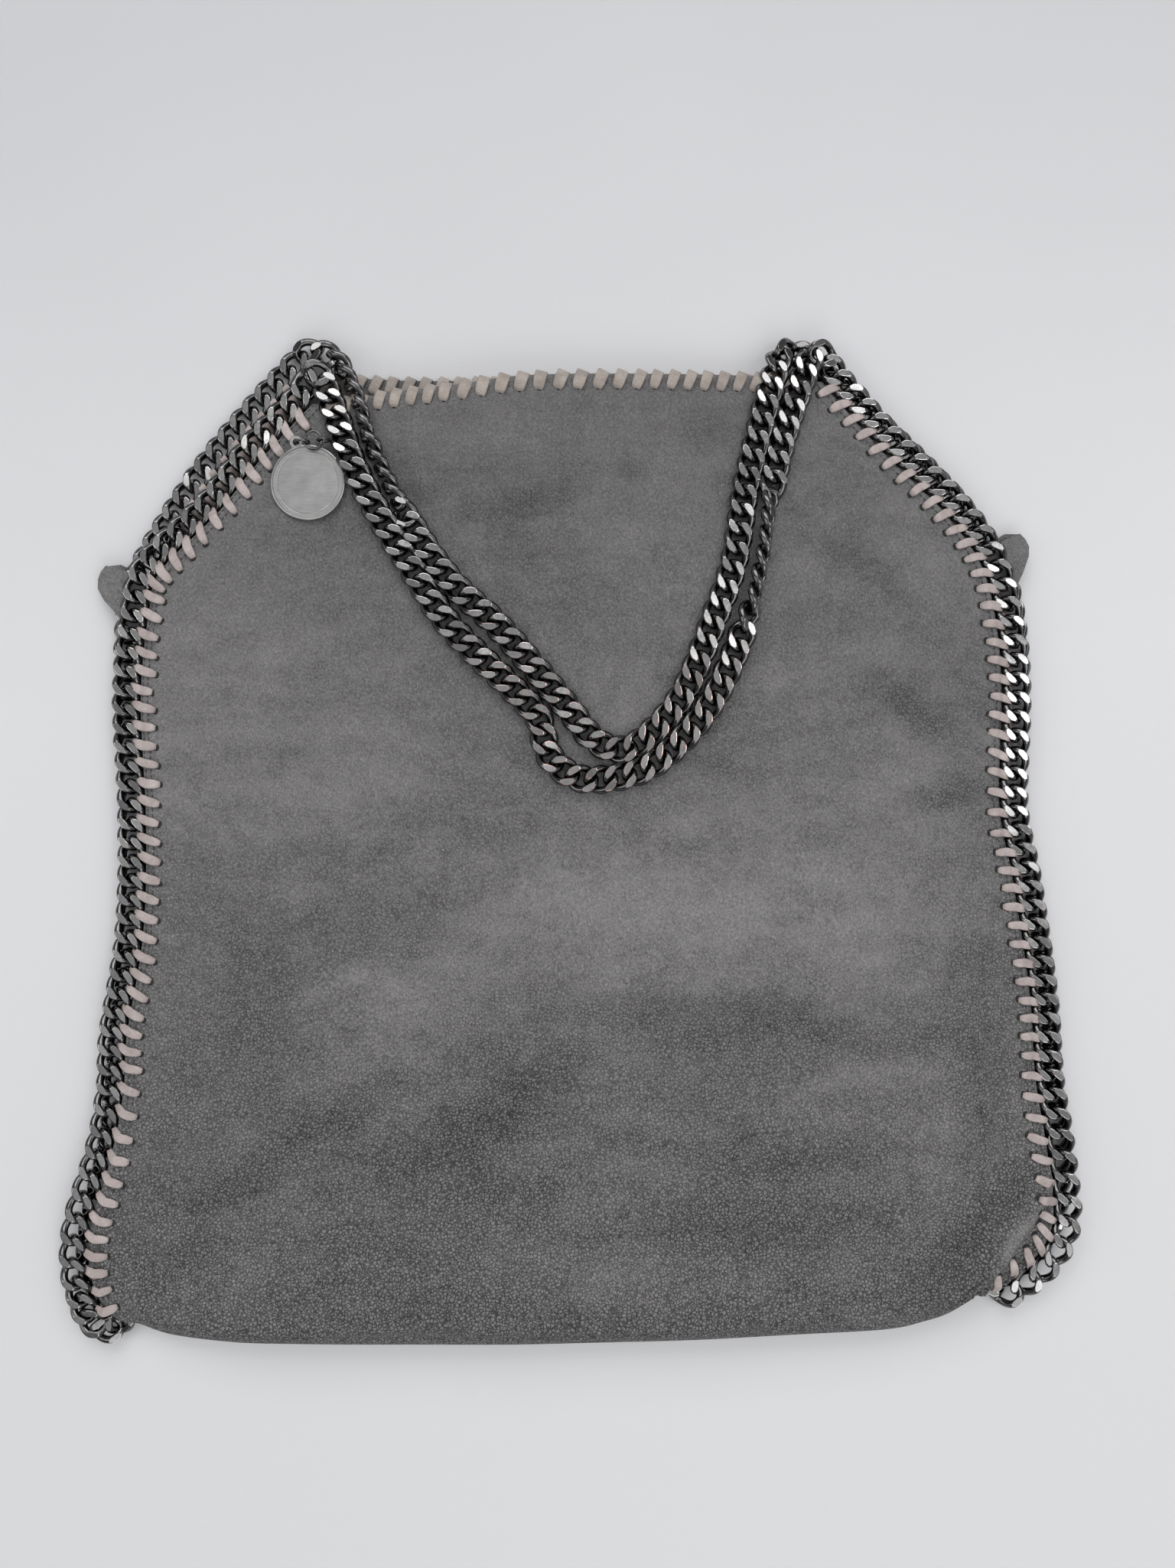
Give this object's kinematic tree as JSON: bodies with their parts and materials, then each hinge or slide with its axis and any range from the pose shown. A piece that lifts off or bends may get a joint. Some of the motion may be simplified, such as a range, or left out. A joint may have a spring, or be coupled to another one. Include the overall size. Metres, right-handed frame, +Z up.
{
  "type": "chain-trimmed tote bag",
  "caption": "Soft faux-suede tote bag with curb-chain edges, whipped lacing, two chain handles and a round charm tag, lying flat.",
  "frame": {"origin": "centre of the bag's bounding box, on the surface it lies on", "axes": "+Y from the base fold to the mouth, +X to the right seen from the front panel's side, +Z up off the surface"},
  "size_m": [0.3794, 0.3712, 0.0182],
  "materials": {
    "suede": "soft nubuck nap, matt",
    "lining": "smooth woven lining",
    "zip_tape": "woven tape",
    "lacing": "flat matt strip",
    "gunmetal": "polished gunmetal plating, diamond cut",
    "tag_silver": "brushed, bright rim"
  },
  "bodies": {
    "back": {"back_panel": "suede", "base_fold": "suede", "back_lining": "lining", "gusset_left_back": "suede", "gusset_right_back": "suede", "edge_chain_back_left": "gunmetal", "edge_chain_back_right": "gunmetal", "edge_chain_corner_left": "gunmetal", "edge_chain_corner_right": "gunmetal", "lacing_back_left": "lacing", "lacing_back_right": "lacing", "lacing_back_top": "lacing", "snap_socket": "gunmetal", "zip_pocket_pouch": "lining", "zip_tape_upper": "zip_tape", "zip_tape_lower": "zip_tape", "zip_coil": "gunmetal", "zip_stop_left": "gunmetal", "zip_stop_right": "gunmetal"},
    "front": {"front_panel": "suede", "front_lining": "lining", "slip_pocket": "lining", "snap_stud": "gunmetal", "gusset_left_front": "suede", "gusset_right_front": "suede", "edge_chain_front_left": "gunmetal", "edge_chain_front_right": "gunmetal", "lacing_front_left": "lacing", "lacing_front_right": "lacing", "lacing_front_top": "lacing"},
    "front_handle": {"front_handle_left": "gunmetal", "front_handle_bend": "gunmetal", "front_handle_right": "gunmetal", "tag_link": "gunmetal"},
    "back_handle": {"back_handle_left": "gunmetal", "back_handle_bend": "gunmetal", "back_handle_right": "gunmetal"},
    "tag_ring": {"tag_ring": "gunmetal", "tag_jump_ring": "gunmetal"},
    "tag": {"tag_disc": "tag_silver"},
    "zip_slider": {"zip_slider": "gunmetal"},
    "zip_pull": {"zip_pull": "gunmetal"}
  },
  "joints": [
    {"name": "mouth_open", "type": "hinge", "parent": "back", "child": "front", "pos_m": [0, -0.166, 0.013], "axis": [1, 0, 0], "range_deg": [0, 4]},
    {"name": "front_handle_swing", "type": "hinge", "parent": "front", "child": "front_handle", "pos_m": [0, 0.179, 0.011], "axis": [-1, 0, 0], "range_deg": [0, 180]},
    {"name": "back_handle_swing", "type": "hinge", "parent": "front", "child": "back_handle", "pos_m": [0, 0.179, 0.011], "axis": [-1, 0, 0], "range_deg": [0, 180]},
    {"name": "tag_ring_swing", "type": "hinge", "parent": "front_handle", "child": "tag_ring", "pos_m": [-0.0925, 0.148, 0.015], "axis": [0, 0, 1], "range_deg": [-35, 0]},
    {"name": "tag_swing", "type": "hinge", "parent": "tag_ring", "child": "tag", "pos_m": [-0.1005, 0.1475, 0.0134], "axis": [0, 0, 1], "range_deg": [-35, 0]},
    {"name": "zip_slide", "type": "slide", "parent": "back", "child": "zip_slider", "axis": [1, 0, 0], "range_m": [0, 0.136]},
    {"name": "zip_pull_swing", "type": "hinge", "parent": "zip_slider", "child": "zip_pull", "pos_m": [-0.068, 0.095, 0.007], "axis": [0, 0, 1], "range_deg": [-70, 70]}
  ]
}
